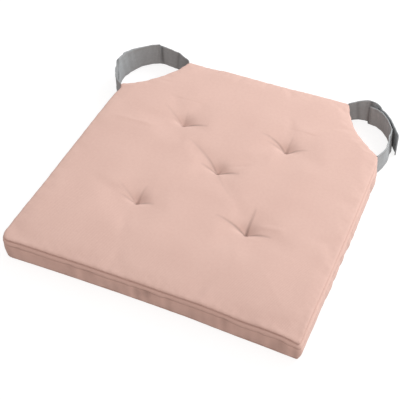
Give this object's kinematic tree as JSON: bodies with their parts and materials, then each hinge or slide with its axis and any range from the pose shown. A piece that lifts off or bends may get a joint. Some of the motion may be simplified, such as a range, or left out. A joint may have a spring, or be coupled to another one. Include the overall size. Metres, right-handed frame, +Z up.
{
  "type": "chair seat pad",
  "caption": "Square tufted chair seat pad with boxed edges, hollowed rear corners and a hook-and-loop strap loop at each rear corner.",
  "frame": {"origin": "middle of the pad's underside, halfway between its front and back edges and between its sides; the pad rests on z = 0", "axes": "+X to the right of someone sitting on it, +Y to the back of the chair, +Z up"},
  "size_m": [0.4233, 0.4185, 0.038],
  "materials": {
    "cover_fabric": "matt plain-weave cotton, powder pink",
    "strap_fabric": "matt plain-weave cotton, warm grey",
    "hook_tape": "hook side of a nylon touch fastener",
    "loop_tape": "napped loop side of a touch fastener",
    "foam": "open-cell polyurethane foam",
    "wadding": "carded polyester fibre",
    "thread": "doubled polyester sewing thread"
  },
  "bodies": {
    "pad": {"top_panel": "cover_fabric", "bottom_panel": "cover_fabric", "front_and_sides_band": "cover_fabric", "right_cut_band": "cover_fabric", "back_band": "cover_fabric", "left_cut_band": "cover_fabric", "top_wadding": "wadding", "foam_core": "foam", "bottom_wadding": "wadding", "front_left_tuft_thread": "thread", "front_right_tuft_thread": "thread", "centre_tuft_thread": "thread", "rear_left_tuft_thread": "thread", "rear_right_tuft_thread": "thread"},
    "right_rear_half": {"right_rear_strap": "strap_fabric", "right_hook_tape": "hook_tape"},
    "right_side_half": {"right_side_strap": "strap_fabric", "right_loop_tape": "loop_tape"},
    "left_rear_half": {"left_rear_strap": "strap_fabric", "left_hook_tape": "hook_tape"},
    "left_side_half": {"left_side_strap": "strap_fabric", "left_loop_tape": "loop_tape"}
  },
  "joints": [
    {"name": "right_rear_strap_swing", "type": "hinge", "parent": "pad", "child": "right_rear_half", "pos_m": [0.12239, 0.20133, 0], "axis": [0, 0, 1], "range_deg": [0, 80]},
    {"name": "right_side_strap_swing", "type": "hinge", "parent": "pad", "child": "right_side_half", "pos_m": [0.19188, 0.11681, 0], "axis": [0, 0, 1], "range_deg": [0, 10]},
    {"name": "left_rear_strap_swing", "type": "hinge", "parent": "pad", "child": "left_rear_half", "pos_m": [-0.12239, 0.20133, 0], "axis": [0, 0, -1], "range_deg": [0, 80]},
    {"name": "left_side_strap_swing", "type": "hinge", "parent": "pad", "child": "left_side_half", "pos_m": [-0.19188, 0.11681, 0], "axis": [0, 0, -1], "range_deg": [0, 10]}
  ]
}
